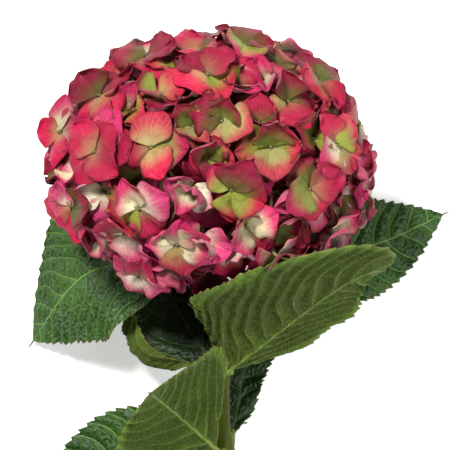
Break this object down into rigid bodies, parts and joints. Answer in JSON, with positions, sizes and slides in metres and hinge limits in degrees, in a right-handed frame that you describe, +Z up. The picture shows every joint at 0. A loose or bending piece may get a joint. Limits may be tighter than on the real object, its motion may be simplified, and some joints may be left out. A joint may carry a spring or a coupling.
{
  "type": "cut hydrangea",
  "caption": "Cut mophead hydrangea lying on its side: a round crimson and lime flower head on a leafy green stem with a slanting cut.",
  "frame": {"origin": "the middle of the lying flower's footprint, on the surface it rests on", "axes": "+Z up from the surface, +Y from the cut end of the stem towards the top of the flower head, +X to the right when the flower is seen from above with its head away from the viewer"},
  "size_m": [0.2386, 0.323, 0.1513],
  "materials": {
    "stem": "smooth green bark with a waxy sheen",
    "branches": "pale green to pink, matt",
    "leaves": "glossy dark green above, matt grey green below",
    "sepals": "soft satin, lime at the base, coral to crimson at the margin"
  },
  "bodies": {
    "root": {"stem": "stem", "branch_leader": "branches", "branch_1": "branches", "branch_2": "branches", "branch_3": "branches", "branch_4": "branches", "branch_5": "branches", "leaf_upper_left": "leaves", "leaf_upper_right": "leaves", "leaf_middle_front": "leaves", "leaf_middle_back": "leaves", "leaf_lower_front": "leaves", "leaf_lower_back": "leaves", "leaf_bottom_left": "leaves", "floret_01": "sepals", "floret_02": "sepals", "floret_03": "sepals", "floret_04": "sepals", "floret_05": "sepals", "floret_06": "sepals", "floret_07": "sepals", "floret_08": "sepals", "floret_09": "sepals", "floret_10": "sepals", "floret_11": "sepals", "floret_12": "sepals", "floret_13": "sepals", "floret_14": "sepals", "floret_15": "sepals", "floret_16": "sepals", "floret_17": "sepals", "floret_18": "sepals", "floret_19": "sepals", "floret_20": "sepals", "floret_21": "sepals", "floret_22": "sepals", "floret_23": "sepals", "floret_24": "sepals", "floret_25": "sepals", "floret_26": "sepals", "floret_27": "sepals", "floret_28": "sepals", "floret_29": "sepals", "floret_30": "sepals", "floret_31": "sepals", "floret_32": "sepals", "floret_33": "sepals", "floret_34": "sepals", "floret_35": "sepals", "floret_36": "sepals", "floret_37": "sepals", "floret_38": "sepals", "floret_39": "sepals", "floret_40": "sepals", "floret_41": "sepals", "floret_42": "sepals", "floret_43": "sepals", "floret_44": "sepals", "floret_45": "sepals", "floret_46": "sepals"}
  },
  "joints": []
}
